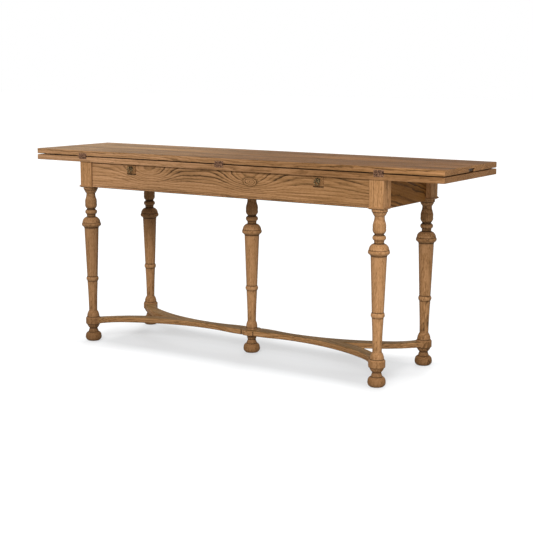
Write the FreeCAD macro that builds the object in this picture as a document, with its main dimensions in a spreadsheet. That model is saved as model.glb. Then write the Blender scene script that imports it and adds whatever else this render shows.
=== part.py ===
import FreeCAD, Part
import math
import os
import re
import Sketcher

# Console table whose two upper leaves fold out to the front and the back.
# +X runs along the table, -Y is the front, +Z is up. The origin is on the floor, under the middle.

# Driving sizes in millimetres
SIZES = {
    # closed table
    "top_length": 1778.0,
    "top_depth": 432.0,
    "table_height": 762.0,
    # two layers of boards
    "leaf_thick": 20.0,
    "leaf_gap": 4.0,
    "seam_gap": 1.5,
    "edge_round": 1.5,
    # corner legs, posts and the lips between them
    "leg_inset_x": 249.0,
    "leg_inset_y": 32.0,
    "leg_radius": 38.0,
    "foot_radius": 23.3,
    "neck_radius": 24.5,
    "dowel_radius": 12.5,
    "dowel_depth": 27.0,
    "dowel_play": 0.1,
    "glide_radius": 13.0,
    "glide_thick": 2.5,
    "post_side": 54.0,
    "post_height": 92.0,
    "post_groove": 2.0,
    "lip_thick": 9.0,
    "lip_reach": 5.0,
    "lip_cove": 2.0,
    # aprons round the frame
    "apron_thick": 22.0,
    "long_apron_set": 5.0,
    "end_apron_set": 20.0,
    "long_apron_height": 98.0,
    "end_apron_height": 104.0,
    "tenon_length": 12.0,
    "tenon_height": 44.0,
    "tenon_shoulder": 14.0,
    "bead_radius": 3.0,
    "fit_gap": 0.3,
    # rail over the middle leg, and glue blocks
    "centre_rail_width": 60.0,
    "block_side": 20.0,
    "block_length": 60.0,
    # pull-out supports and their guides
    "loper_inset": 227.0,
    "loper_pitch": 57.0,
    "loper_width": 40.0,
    "loper_height": 37.0,
    "loper_proud": 4.0,
    "slide_gap": 0.4,
    "loper_end_gap": 1.0,
    "loper_round": 1.0,
    "loper_stroke": 170.0,
    "stop_peg_radius": 5.0,
    "stop_peg_drop": 6.0,
    "stop_peg_inset": 12.0,
    "tray_thick": 12.0,
    # ring pulls
    "rosette_radius": 9.0,
    "rosette_thick": 1.6,
    "rosette_drop": 4.0,
    "eye_drop": 10.0,
    "eye_reach": 10.0,
    "eye_radius": 4.6,
    "eye_width": 5.0,
    "eye_bore": 2.6,
    "eye_neck": 2.0,
    "ring_radius": 9.5,
    "ring_wire": 1.8,
    # butt hinges on the long edges
    "hinge_inset": 239.0,
    "hinge_length": 38.0,
    "hinge_plate_height": 10.0,
    "hinge_plate_thick": 2.5,
    "knuckle_radius": 3.2,
    "knuckle_play": 0.4,
    "pin_radius": 1.5,
    "pin_play": 0.05,
    "axis_out": 0.5,
    # finger notches where the leaves meet
    "notch_width": 50.0,
    "notch_height": 12.0,
    "notch_depth": 10.0,
    "finger_plate_thick": 3.0,
    "finger_plate_height": 10.0,
    # soft bumpers under the leaves
    "bumper_radius": 5.0,
    "bumper_inset": 60.0,
    "bumper_row": 40.0,
    # curved stretcher and the round boss at its middle
    "stretcher_base": 72.0,
    "stretcher_thick": 20.0,
    "stretcher_round": 4.0,
    "band_radius": 29.4,
    "band_margin": 1.0,
    "boss_radius": 41.0,
    "hub_radius": 21.0,
    "waist_half": 19.5,
    "glue_gap": 0.1,
    # how far a cutting shape runs past the piece it cuts
    "overrun": 5.0,
}

# Where the stretcher's tails end and where its arms part, as shares of the leg's place along the table
TAIL_END_SHARE = 0.297
FORK_SHARE = 0.641

# Values worked out from the driving sizes, each from the ones above it
DERIVED = {
    "half_length": "top_length / 2",
    "half_depth": "top_depth / 2",
    "leaf_base": "table_height - leaf_thick",
    "fixed_face": "leaf_base - leaf_gap",
    "frame_top": "fixed_face - leaf_thick",
    "leg_x": "half_length - leg_inset_x",
    "leg_y": "half_depth - leg_inset_y",
    "post_in_x": "leg_x - post_side / 2",
    "post_out_x": "leg_x + post_side / 2",
    "post_in_y": "leg_y - post_side / 2",
    "post_out_y": "leg_y + post_side / 2",
    "lip_top": "frame_top - post_height",
    "leg_height": "lip_top - lip_thick",
    "dowel_top": "lip_top + dowel_depth",
    "apron_face_y": "post_out_y - long_apron_set",
    "apron_back_y": "apron_face_y - apron_thick",
    "apron_face_x": "post_out_x - end_apron_set",
    "apron_back_x": "apron_face_x - apron_thick",
    "long_apron_base": "frame_top - long_apron_height",
    "end_apron_base": "frame_top - end_apron_height",
    "tenon_top": "frame_top - tenon_shoulder",
    "tenon_base": "tenon_top - tenon_height",
    "loper_top": "frame_top - slide_gap",
    "loper_base": "loper_top - loper_height",
    "tray_top": "loper_base - slide_gap",
    "slot_half": "loper_width / 2 + slide_gap",
    "rail_width": "loper_pitch - 2 * slot_half",
    "loper_x": "leg_x - loper_inset",
    "back_loper_x": "loper_x - loper_pitch",
    "loper_back_y": "apron_back_y - loper_end_gap",
    "peg_y": "loper_back_y - stop_peg_inset",
    "peg_room": "stop_peg_radius + fit_gap",
    "loper_face_y": "apron_face_y + loper_proud",
    "eye_y": "loper_face_y + eye_reach",
    "eye_z": "loper_top - eye_drop",
    "hinge_x": "half_length - hinge_inset",
    "hinge_y": "half_depth + axis_out",
    "hinge_z": "fixed_face + leaf_gap / 2",
    "knuckle_half": "hinge_length / 6",
    "relief_radius": "knuckle_radius + knuckle_play",
    "band_base": "stretcher_base - band_margin",
    "stretcher_top": "stretcher_base + stretcher_thick",
    "band_top": "stretcher_top + band_margin",
    "arm_start": f"leg_x * {TAIL_END_SHARE}",
    "fork_x": f"leg_x * {FORK_SHARE}",
}

# Turned leg: radius as a share of leg_radius, height as a share of the stretch it lies on, and the bow
# of the run to the next point, as a share of that run's length. A cove has a bow below zero.
FOOT_SHARES = [
    (0.822, 0.310, 0.163),
    (0.540, 0.529, 0.0),
    (0.406, 0.739, 0.067),
]
SHAFT_SHARES = [
    (0.429, 0.059, -0.006),
    (0.537, 0.287, 0.19),
    (0.545, 0.323, 0.0),
    (0.732, 0.683, -0.10),
    (0.816, 0.704, 0.28),
    (0.926, 0.734, 0.17),
    (0.447, 0.778, 0.0),
    (0.465, 0.797, 0.33),
    (0.435, 0.833, 0.0),
    (0.435, 0.840, 0.15),
    (0.595, 0.877, 0.07),
    (0.530, 0.919, -0.05),
    (0.458, 0.954, 0.05),
    (0.671, 0.981, 0.0),
    (0.730, 0.985, 0.0),
    (0.730, 1.0, 0.0),
]
# Flare under the band: radius as a share of the band's, and height as a share of band_base
FLARE_SHARES = (0.882, 0.972)
# Neck over the band: height as a share of the shaft's, and the bow of the run above it
NECK_SHARES = (0.0124, 0.08)
FOOT_BOW_SHARE = 0.174
LIP_TIP_SHARE = 0.55
BLOCK_PLACE_SHARES = [-0.83, -0.3, 0.3, 0.83]
# Stretcher tail: distance out as a share of arm_start, half width as a share of boss_radius, and the bows
TAIL_SHARES = [(0.130, 0.817), (0.579, 0.660)]
TAIL_BOW_SHARES = [0.028, -0.0233]
# Stretcher arm: where its inner edge reaches the leg, and where its outer edge reaches it and starts to
# flare towards it, as shares of the band's radius from the leg's axis, and the bow of the inner edge
ARM_SHARES = {"inner": (0.41, -0.61), "outer": (-1.013, 0.287), "flare": (-3.231, -2.323)}
ARM_BOW_SHARE = 0.0858
QUARTER_BOW_SHARE = math.tan(math.pi / 8) / 2

doc = FreeCAD.newDocument("ExtendingConsoleTable")
sheet = doc.addObject("Spreadsheet::Sheet", "Sizes")
nodes = []


def fill_sheet():
    """Writes the driving sizes as plain numbers and the derived ones as formulas."""
    texts = {name: repr(size) for name, size in SIZES.items()}
    texts.update({name: "=" + formula for name, formula in DERIVED.items()})
    for row, (name, text) in enumerate(texts.items(), start=1):
        sheet.set(f"A{row}", name)
        sheet.set(f"B{row}", text)
        sheet.setAlias(f"B{row}", name)
    doc.recompute()


def value(text):
    """Number that a formula in sheet names stands for."""
    return float(sheet.evalExpression(text))


def linked(text):
    """The same formula, as an object outside the sheet has to write it."""
    known = lambda word: word in SIZES or word in DERIVED
    return re.sub(r"[a-z_]+", lambda m: f"Sizes.{m[0]}" if known(m[0]) else m[0], text)


def bind(item, **formulas):
    """Ties properties to formulas; a double underscore in a name stands for a dot."""
    for name, text in formulas.items():
        item.setExpression(name.replace("__", "."), linked(text))


def place(item, x="0", y="0", z="0"):
    bind(item, Placement__Base__x=x, Placement__Base__y=y, Placement__Base__z=z)
    return item


def keep(item, label):
    """Marks an object as a sub-part that gets a file of its own."""
    item.Label = label
    nodes.append(item)
    return item


def side(sign, near, far):
    """Span from near to far on the side of the middle that sign picks, low end first."""
    return (near, far) if sign > 0 else (f"-({far})", f"-({near})")


def signed(sign, text):
    return text if sign > 0 else f"-({text})"


def about(middle, half):
    return (f"{middle} - ({half})", f"{middle} + ({half})")


def block(x, y, z):
    """Box between three spans."""
    box = doc.addObject("Part::Box", "Block")
    bind(box, Length=f"{x[1]} - ({x[0]})", Width=f"{y[1]} - ({y[0]})", Height=f"{z[1]} - ({z[0]})")
    return place(box, x[0], y[0], z[0])


AXIS_TURNS = {
    "x": FreeCAD.Rotation(FreeCAD.Vector(0, 1, 0), 90),
    "y": FreeCAD.Rotation(FreeCAD.Vector(1, 0, 0), -90),
    "z": FreeCAD.Rotation(),
}


def rod(axis, start, length, radius):
    """Cylinder from a start point along the given axis."""
    cylinder = doc.addObject("Part::Cylinder", "Rod")
    cylinder.Placement = FreeCAD.Placement(FreeCAD.Vector(), AXIS_TURNS[axis])
    bind(cylinder, Radius=radius, Height=length)
    return place(cylinder, *start)


def fuse(items):
    fusion = doc.addObject("Part::MultiFuse", "Fusion")
    fusion.Shapes = items
    return fusion


def cut(base, tools):
    """The base without its tools."""
    result = doc.addObject("Part::Cut", "Cut")
    result.Base = base
    result.Tool = tools[0] if len(tools) == 1 else fuse(tools)
    return result


def group(items):
    """Separate solids that share one sub-part."""
    compound = doc.addObject("Part::Compound", "Group")
    compound.Links = items
    return compound


def sketch_in(body, role, offset="0"):
    """Sketch on one of the body's own planes, moved along that plane's normal."""
    sketch = body.newObject("Sketcher::SketchObject", "Outline")
    plane = next(item for item in body.Origin.OriginFeatures if item.Role == role)
    sketch.AttachmentSupport = [(plane, "")]
    sketch.MapMode = "FlatFace"
    bind(sketch, AttachmentOffset__Base__z=offset)
    return sketch


def run_between(start, end, bow):
    """Line or arc from start to end, with the numbers of its first and last point in the sketch."""
    if bow == 0:
        return Part.LineSegment(start, end), 1, 2
    chord = end - start
    rise = bow * chord.Length
    radius = chord.Length ** 2 / (8 * abs(rise)) + abs(rise) / 2
    outward = FreeCAD.Vector(chord.y, -chord.x, 0).normalize()
    crown = (start + end) * 0.5 + outward * rise
    centre = crown - outward * math.copysign(radius, bow)
    first, last = (start, end) if bow > 0 else (end, start)
    angles = [math.atan2(p.y - centre.y, p.x - centre.x) for p in (first, last)]
    circle = Part.Circle(centre, FreeCAD.Vector(0, 0, 1), radius)
    arc = Part.ArcOfCircle(circle, angles[0], angles[1])
    return (arc, 1, 2) if bow > 0 else (arc, 2, 1)


def outline(sketch, corners):
    """Closed loop through corners (x, y, bow of the run that follows), each tied to the sheet."""
    spots = [FreeCAD.Vector(value(x), value(y), 0) for x, y, bow in corners]
    following = corners[1:] + corners[:1]
    runs = [run_between(a, b, corner[2]) for a, b, corner in zip(spots, spots[1:] + spots[:1], corners)]
    sketch.addGeometry([run[0] for run in runs])
    rules = []
    formulas = {}
    for index, (_, first, last) in enumerate(runs):
        after = (index + 1) % len(runs)
        x, y, bow = corners[index]
        next_x, next_y, _ = following[index]
        rules.append(Sketcher.Constraint("Coincident", index, last, after, runs[after][1]))
        for kind, text, axis in (("DistanceX", x, -2), ("DistanceY", y, -1)):
            if text == "0":
                rules.append(Sketcher.Constraint("PointOnObject", index, first, axis))
            else:
                formulas[len(rules)] = text
                rules.append(Sketcher.Constraint(kind, -1, 1, index, first, value(text)))
        if bow:
            share = 1 / (8 * abs(bow)) + abs(bow) / 2
            radius = f"sqrt(({next_x} - ({x})) ^ 2 + ({next_y} - ({y})) ^ 2) * {share!r}"
            formulas[len(rules)] = radius
            rules.append(Sketcher.Constraint("Radius", index, value(radius)))
    sketch.addConstraint(rules)
    for index, text in formulas.items():
        sketch.setExpression(f"Constraints[{index}]", linked(text))


def pad(body, sketch, length, symmetric=False):
    feature = body.newObject("PartDesign::Pad", "Pad")
    feature.Profile = sketch
    feature.SideType = "Symmetric" if symmetric else "One side"
    bind(feature, Length=length)
    return feature


def rounded(body, base, radius, chosen):
    """Rounds the edges of base that chosen picks."""
    doc.recompute()
    names = [f"Edge{i}" for i, edge in enumerate(base.Shape.Edges, start=1) if chosen(edge)]
    fillet = body.newObject("PartDesign::Fillet", "Round")
    fillet.Base = (base, names)
    bind(fillet, Radius=radius)
    return fillet


def along_y(edge):
    return edge.BoundBox.YLength > edge.BoundBox.XLength + edge.BoundBox.ZLength


def board(x, y, z, radius=None, chosen=lambda edge: True):
    """Board with a rectangular outline between three spans, with eased edges where a radius is given."""
    body = doc.addObject("PartDesign::Body", "Board")
    sketch = sketch_in(body, "XY_Plane", z[0])
    outline(sketch, [(x[0], y[0], 0), (x[1], y[0], 0), (x[1], y[1], 0), (x[0], y[1], 0)])
    slab = pad(body, sketch, f"{z[1]} - ({z[0]})")
    if radius:
        rounded(body, slab, radius, chosen)
    return body


def turned(label, corners, x, y):
    """Sub-part turned from an upright outline about its own axis, at the given place."""
    body = doc.addObject("PartDesign::Body", "Turned")
    sketch = sketch_in(body, "XZ_Plane")
    outline(sketch, corners)
    turning = body.newObject("PartDesign::Revolution", "Turning")
    turning.Profile = sketch
    turning.ReferenceAxis = (sketch, ["V_Axis"])
    turning.Angle = 360
    keep(place(body, x, y), label)


def make_leg(label, x, y, band, neck):
    """Turned leg with ball foot, band for the stretcher, beaded taper, dome, vase, capital and dowel."""
    up_shaft = lambda share: f"band_top + (leg_height - band_top) * {share}"
    corners = [("0", "glide_thick", 0), ("foot_radius", "glide_thick", FOOT_BOW_SHARE)]
    for radius, height, bow in FOOT_SHARES:
        corners.append((f"leg_radius * {radius}", f"band_base * {height}", bow))
    corners += [
        (f"{band} * {FLARE_SHARES[0]}", f"band_base * {FLARE_SHARES[1]}", 0),
        (band, "band_base", 0),
        (band, "band_top", 0),
        (neck, up_shaft(NECK_SHARES[0]), NECK_SHARES[1]),
    ]
    corners += [(f"leg_radius * {radius}", up_shaft(height), bow) for radius, height, bow in SHAFT_SHARES]
    corners += [
        ("dowel_radius", "leg_height", 0),
        ("dowel_radius", "dowel_top", 0),
        ("0", "dowel_top", 0),
    ]
    turned(label, corners, x, y)


def leg_places():
    """Name and axis of each of the five legs."""
    for end_name, sx in (("left", -1), ("right", 1)):
        for row_name, sy in (("front", -1), ("back", 1)):
            yield f"{row_name}_{end_name}", signed(sx, "leg_x"), signed(sy, "leg_y")
    yield "centre", "0", "0"


def make_legs():
    glides = []
    for name, x, y in leg_places():
        if name == "centre":
            make_leg(f"leg_{name}", x, y, "hub_radius", "hub_radius")
        else:
            make_leg(f"leg_{name}", x, y, "band_radius", "neck_radius")
        glides.append(rod("z", (x, y, "0"), "glide_thick", "glide_radius"))
    keep(group(glides), "foot_glides")


def dowel_bore(x, y):
    radius = "dowel_radius + dowel_play"
    length = "dowel_top - leg_height + overrun + dowel_play"
    return rod("z", (x, y, "leg_height - overrun"), length, radius)


def make_post(label, sx, sy):
    """Square post, grooved on its end face, with a dowel bore and a mortise for each apron."""
    x = side(sx, "post_in_x", "post_out_x")
    y = side(sy, "post_in_y", "post_out_y")
    tenon_z = ("tenon_base", "tenon_top")
    reach = "tenon_length + fit_gap"
    tools = [
        dowel_bore(signed(sx, "leg_x"), signed(sy, "leg_y")),
        block(side(sx, "post_in_x - overrun", f"post_in_x + {reach}"),
              side(sy, "apron_back_y", "apron_face_y"), tenon_z),
        block(side(sx, "apron_back_x", "apron_face_x"),
              side(sy, "post_in_y - overrun", f"post_in_y + {reach}"), tenon_z),
        block(side(sx, "post_out_x - post_groove", "post_out_x + overrun"),
              about(signed(sy, "leg_y"), "post_groove / 2"),
              ("lip_top - overrun", "frame_top + overrun")),
    ]
    keep(cut(block(x, y, ("lip_top", "frame_top")), tools), label)


def lip_section(half, level):
    """Square outline of one level of a lip, round the leg's axis."""
    sketch = doc.addObject("Sketcher::SketchObject", "LipSection")
    low = f"-({half})"
    outline(sketch, [(low, low, 0), (half, low, 0), (half, half, 0), (low, half, 0)])
    return place(sketch, z=level)


def make_lip(label, x, y):
    """Thin moulded plate between post and leg, widest at a sharp tip part way up."""
    loft = doc.addObject("Part::Loft", "Lip")
    loft.Sections = [
        lip_section("post_side / 2 - lip_cove", "leg_height"),
        lip_section("post_side / 2 + lip_reach", f"leg_height + lip_thick * {LIP_TIP_SHARE}"),
        lip_section("post_side / 2 + lip_cove", "lip_top"),
    ]
    loft.Solid = True
    loft.Ruled = True
    keep(cut(place(loft, x, y), [dowel_bore(x, y)]), label)


def make_corners():
    for name, x, y in leg_places():
        if name == "centre":
            continue
        make_post(f"post_{name}", -1 if "left" in name else 1, -1 if "front" in name else 1)
        make_lip(f"post_lip_{name}", x, y)


def apron_corners(end, base, slots):
    """Upright outline of an apron: tenons, clearance over the lips, and slots in its top edge."""
    lip_in = f"{end} - lip_reach - fit_gap"
    half = [
        (lip_in, base),
        (lip_in, "lip_top + fit_gap"),
        (end, "lip_top + fit_gap"),
        (end, "tenon_base"),
        (f"{end} + tenon_length", "tenon_base"),
        (f"{end} + tenon_length", "tenon_top"),
        (end, "tenon_top"),
        (end, "frame_top"),
    ]
    for middle in slots:
        low, high = about(middle, "slot_half")
        half += [(high, "frame_top"), (high, "tray_top"), (low, "tray_top"), (low, "frame_top")]
    mirrored = [(f"-({x})", z) for x, z in reversed(half)]
    return [(x, z, 0) for x, z in half + mirrored]


def make_long_apron(label, sy, slot):
    """Front or back apron with slots for its own pair of lopers and a bead along its foot."""
    body = doc.addObject("PartDesign::Body", "LongApron")
    sketch = sketch_in(body, "XZ_Plane", "apron_back_y" if sy < 0 else "-(apron_face_y)")
    outline(sketch, apron_corners("post_in_x", "long_apron_base", [slot]))
    pad(body, sketch, "apron_thick")
    bead = sketch_in(body, "YZ_Plane")
    y = signed(sy, "apron_face_y")
    z = "long_apron_base + bead_radius"
    bead.addGeometry(Part.Circle(FreeCAD.Vector(value(y), value(z), 0), FreeCAD.Vector(0, 0, 1),
                                 value("bead_radius")))
    rules = [
        ("DistanceX", (-1, 1, 0, 3), y),
        ("DistanceY", (-1, 1, 0, 3), z),
        ("Radius", (0,), "bead_radius"),
    ]
    for index, (kind, places, text) in enumerate(rules):
        bead.addConstraint(Sketcher.Constraint(kind, *places, value(text)))
        bead.setExpression(f"Constraints[{index}]", linked(text))
    pad(body, bead, "2 * (post_in_x - lip_reach - fit_gap)", symmetric=True)
    keep(body, label)


def make_end_apron(label, sx):
    body = doc.addObject("PartDesign::Body", "EndApron")
    sketch = sketch_in(body, "YZ_Plane", "apron_back_x" if sx > 0 else "-(apron_face_x)")
    outline(sketch, apron_corners("post_in_y", "end_apron_base", []))
    pad(body, sketch, "apron_thick")
    keep(body, label)


def make_frame():
    make_long_apron("front_apron", -1, "loper_x")
    make_long_apron("back_apron", 1, "back_loper_x")
    make_end_apron("left_apron", -1)
    make_end_apron("right_apron", 1)
    width = about("0", "centre_rail_width / 2")
    rail = block(width, about("0", "apron_back_y"), ("leg_height", "frame_top"))
    keep(cut(rail, [dowel_bore("0", "0")]), "centre_rail")
    blocks = []
    for sy in (-1, 1):
        for share in BLOCK_PLACE_SHARES:
            x = about(f"leg_x * {share}", "block_length / 2")
            y = side(sy, "apron_back_y - block_side", "apron_back_y")
            blocks.append(block(x, y, ("frame_top - block_side", "frame_top")))
    keep(group(blocks), "glue_blocks")


def make_guides(end_name, sx):
    """Grooved tray and three rails that hold one front and one back loper side by side."""
    depth = about("0", "apron_back_y")
    low = "back_loper_x - slot_half - rail_width"
    high = "loper_x + slot_half + rail_width"
    tray = block(side(sx, low, high), depth, ("tray_top - tray_thick", "tray_top"))
    grooves = [
        block(about(signed(sx, x), "peg_room"),
              side(sy, "-(peg_y + peg_room)", "loper_stroke - peg_y + peg_room"),
              ("loper_base - stop_peg_drop - slide_gap", "tray_top + overrun"))
        for sy, x in ((-1, "loper_x"), (1, "back_loper_x"))
    ]
    keep(cut(tray, grooves), f"loper_tray_{end_name}")
    starts = {"inner": low, "middle": "back_loper_x + slot_half", "outer": "loper_x + slot_half"}
    for name, start in starts.items():
        rail = block(side(sx, start, f"{start} + rail_width"), depth, ("tray_top", "frame_top"))
        keep(rail, f"loper_rail_{name}_{end_name}")


def make_loper(name, sy, x):
    """Sliding bar with a stop peg below, an eye on its outer end and a ring hanging in the eye."""
    y = side(sy, "-(loper_back_y)", "loper_face_y")
    z = ("loper_base", "loper_top")
    bar = board(about(x, "loper_width / 2"), y, z, "loper_round", along_y)
    peg_foot = (x, signed(-sy, "peg_y"), "loper_base - stop_peg_drop")
    peg = rod("z", peg_foot, "loper_height / 2 + stop_peg_drop", "stop_peg_radius")
    keep(fuse([bar, peg]), f"loper_{name}")
    eye_y = signed(sy, "eye_y")
    rosette = side(sy, "loper_face_y", "loper_face_y + rosette_thick")[0]
    neck = side(sy, "loper_face_y", "eye_y")[0]
    solid = fuse([
        rod("y", (x, rosette, "eye_z - rosette_drop"), "rosette_thick", "rosette_radius"),
        rod("y", (x, neck, "eye_z"), "eye_reach", "eye_neck"),
        rod("x", (f"{x} - eye_width / 2", eye_y, "eye_z"), "eye_width", "eye_radius"),
    ])
    bore_start = (f"{x} - eye_width / 2 - overrun", eye_y, "eye_z")
    bore = rod("x", bore_start, "eye_width + 2 * overrun", "eye_bore")
    keep(cut(solid, [bore]), f"pull_eye_{name}")
    ring = doc.addObject("Part::Torus", "Ring")
    ring.Placement = FreeCAD.Placement(FreeCAD.Vector(), AXIS_TURNS["y"])
    bind(ring, Radius1="ring_radius", Radius2="ring_wire")
    keep(place(ring, x, eye_y, "eye_z - ring_radius"), f"pull_ring_{name}")


def make_lopers():
    for end_name, sx in (("left", -1), ("right", 1)):
        make_guides(end_name, sx)
        make_loper(f"front_{end_name}", -1, signed(sx, "loper_x"))
        make_loper(f"back_{end_name}", 1, signed(sx, "back_loper_x"))


def hinge_places():
    return ["-(hinge_x)", "0", "hinge_x"]


def hinge_rod(sy, x, half, radius):
    """Cylinder on a hinge axis, half of it on each side of x."""
    return rod("x", (f"{x} - ({half})", signed(sy, "hinge_y"), "hinge_z"), f"2 * ({half})", radius)


def hinge_room(sy, upper):
    """Mortises for the plates and hollows for the knuckles along one edge of a board."""
    room = []
    depth = side(sy, "half_depth - hinge_plate_thick", "half_depth + overrun")
    height = plate_span(upper, "overrun")
    for x in hinge_places():
        half = "hinge_length / 2 + fit_gap"
        room.append(block(about(x, half), depth, height))
        room.append(hinge_rod(sy, x, half, "relief_radius"))
    return room


def plate_span(upper, past="0"):
    """Height of a hinge plate above or below the gap, run past the board's face by the given length."""
    if upper:
        return (f"leaf_base - {past}", "leaf_base + hinge_plate_height")
    return ("fixed_face - hinge_plate_height", f"fixed_face + {past}")


def make_hinges(side_name, sy):
    """Three butt hinges: plates on the fixed top, plates on the leaf, and pins."""
    depth = side(sy, "half_depth - hinge_plate_thick", "half_depth")
    fixed, moving, pins = [], [], []
    for x in hinge_places():
        width = about(x, "hinge_length / 2")
        bore = lambda: hinge_rod(sy, x, "hinge_length / 2 + overrun", "pin_radius + pin_play")
        outer = "hinge_length / 2 - knuckle_half"
        shift = "knuckle_half + (hinge_length / 2 - knuckle_half) / 2"
        ends = [f"{x} - ({shift})", f"{x} + ({shift})"]
        barrels = [hinge_rod(sy, end, f"({outer}) / 2", "knuckle_radius") for end in ends]
        room = hinge_rod(sy, x, "knuckle_half + knuckle_play", "relief_radius")
        plate = block(width, depth, plate_span(False))
        fixed.append(cut(fuse([plate] + barrels), [fuse([room, bore()])]))
        rooms = [hinge_rod(sy, end, f"({outer}) / 2", "relief_radius") for end in ends]
        plate = cut(block(width, depth, plate_span(True)), rooms)
        barrel = hinge_rod(sy, x, "knuckle_half", "knuckle_radius")
        moving.append(cut(fuse([plate, barrel]), [bore()]))
        pins.append(hinge_rod(sy, x, "hinge_length / 2", "pin_radius"))
    keep(group(fixed), f"hinge_fixed_plates_{side_name}")
    keep(group(moving), f"hinge_leaf_plates_{side_name}")
    keep(group(pins), f"hinge_pins_{side_name}")


def make_leaf(side_name, sy):
    """Folding leaf with hinge mortises, and a finger notch and its plate at each end of the seam."""
    length = about("0", "half_length")
    depth = side(sy, "seam_gap / 2", "half_depth")
    leaf = board(length, depth, ("leaf_base", "table_height"), "edge_round")
    tools = hinge_room(sy, upper=True)
    plates = []
    for sx in (-1, 1):
        tools.append(block(side(sx, "half_length - notch_depth", "half_length + overrun"),
                           side(sy, "seam_gap / 2 - overrun", "notch_width / 2"),
                           ("leaf_base - overrun", "leaf_base + notch_height")))
        wall = side(sx, "half_length - notch_depth", "half_length - notch_depth + finger_plate_thick")
        plates.append(block(wall, side(sy, "seam_gap / 2", "notch_width / 2"),
                            ("leaf_base + notch_height - finger_plate_height", "leaf_base + notch_height")))
    keep(cut(leaf, tools), f"{side_name}_leaf")
    keep(group(plates), f"finger_plates_{side_name}")


def make_top():
    length = about("0", "half_length")
    depth = about("0", "half_depth")
    panel = board(length, depth, ("frame_top", "fixed_face"), "edge_round")
    keep(cut(panel, hinge_room(-1, upper=False) + hinge_room(1, upper=False)), "fixed_top")
    for side_name, sy in (("front", -1), ("back", 1)):
        make_leaf(side_name, sy)
        make_hinges(side_name, sy)
    bumpers = []
    for x in ("-(half_length - bumper_inset)", "0", "half_length - bumper_inset"):
        for sy in (-1, 1):
            start = (x, signed(sy, "bumper_row"), "fixed_face")
            bumpers.append(rod("z", start, "leaf_gap - fit_gap", "bumper_radius"))
    keep(group(bumpers), "leaf_bumpers")


def stretcher_cope(x, y, radius):
    """Round hollow by which a piece of the stretcher fits against a turned one."""
    foot = (x, y, "stretcher_base - overrun")
    return rod("z", foot, "stretcher_thick + 2 * overrun", f"{radius} + glue_gap")


def stretcher_bar(corners):
    """Flat piece of the stretcher with its curved edges rounded."""
    body = doc.addObject("PartDesign::Body", "Bar")
    sketch = sketch_in(body, "XY_Plane", "stretcher_base")
    outline(sketch, corners)
    bar = pad(body, sketch, "stretcher_thick")
    rounded(body, bar, "stretcher_round", lambda edge: isinstance(edge.Curve, Part.Circle))
    return body


def make_boss():
    """Round boss on the middle leg, rounded like the bars that meet it."""
    corners = [
        ("hub_radius + glue_gap", "stretcher_base", 0),
        ("boss_radius - stretcher_round", "stretcher_base", QUARTER_BOW_SHARE),
        ("boss_radius", "stretcher_base + stretcher_round", 0),
        ("boss_radius", "stretcher_top - stretcher_round", QUARTER_BOW_SHARE),
        ("boss_radius - stretcher_round", "stretcher_top", 0),
        ("hub_radius + glue_gap", "stretcher_top", 0),
    ]
    turned("stretcher_boss", corners, "0", "0")


def make_tail(label, sx):
    """Waisted bar from the boss to the fork."""
    points = [(f"arm_start * {x}", f"boss_radius * {y}") for x, y in TAIL_SHARES]
    points.append(("arm_start", "waist_half"))
    front = [(x, f"-({y})", bow) for (x, y), bow in zip(points, TAIL_BOW_SHARES + [0])]
    back = [(x, y, bow) for (x, y), bow in zip(points[::-1], TAIL_BOW_SHARES[::-1] + [0])]
    corners = [(signed(sx, x), y, bow * sx) for x, y, bow in front + back]
    keep(cut(stretcher_bar(corners), [stretcher_cope("0", "0", "boss_radius")]), label)


def slope(start, end):
    """Angle of the straight line between two points given as formulas."""
    return math.atan2(value(end[1]) - value(start[1]), value(end[0]) - value(start[0]))


def make_arm(label, sx, sy):
    """Curved arm that widens at the fork, glued to its twin along the middle and coped to a corner leg."""
    points = {
        spot: (f"leg_x + band_radius * {x}", f"leg_y + band_radius * {y}")
        for spot, (x, y) in ARM_SHARES.items()
    }
    points["waist"] = ("arm_start", "waist_half")
    sweep = slope(points["waist"], points["flare"])
    flare_turn = slope(points["flare"], points["outer"]) - 2 * sweep
    corners = [
        ("arm_start", "0", 0),
        ("fork_x", "0", ARM_BOW_SHARE),
        (*points["inner"], 0),
        (*points["outer"], -math.tan(flare_turn / 2) / 2),
        (*points["flare"], -math.tan(sweep / 2) / 2),
        (*points["waist"], 0),
    ]
    corners = [(signed(sx, x), y if y == "0" else signed(sy, y), bow * sx * sy) for x, y, bow in corners]
    leg = (signed(sx, "leg_x"), signed(sy, "leg_y"))
    keep(cut(stretcher_bar(corners), [stretcher_cope(*leg, "band_radius")]), label)


def make_stretcher():
    """Boss at the middle leg, a waisted tail to each side, and two arms that fork to the corner legs."""
    make_boss()
    for end_name, sx in (("left", -1), ("right", 1)):
        make_tail(f"stretcher_tail_{end_name}", sx)
        for row_name, sy in (("front", -1), ("back", 1)):
            make_arm(f"stretcher_arm_{row_name}_{end_name}", sx, sy)


def check_model():
    """Stops the build where an object failed or a sub-part isn't a sound solid."""
    for item in doc.Objects:
        if "Invalid" in item.State or "Error" in item.State:
            raise RuntimeError(f"{item.Label} failed: {item.State}")
    for item in nodes:
        shape = item.Shape
        if shape.isNull() or not shape.isValid() or not shape.Solids:
            raise RuntimeError(f"{item.Label} has no sound solid")


def write_parts():
    os.makedirs("parts", exist_ok=True)
    for item in nodes:
        item.Shape.exportStep(f"parts/{item.Label}.step")


fill_sheet()
make_legs()
make_corners()
make_frame()
make_lopers()
make_top()
make_stretcher()
doc.recompute()
check_model()
write_parts()
print(f"{len(nodes)} sub-parts")
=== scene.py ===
import bmesh
import bpy
import math
from mathutils import Matrix, Vector


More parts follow.
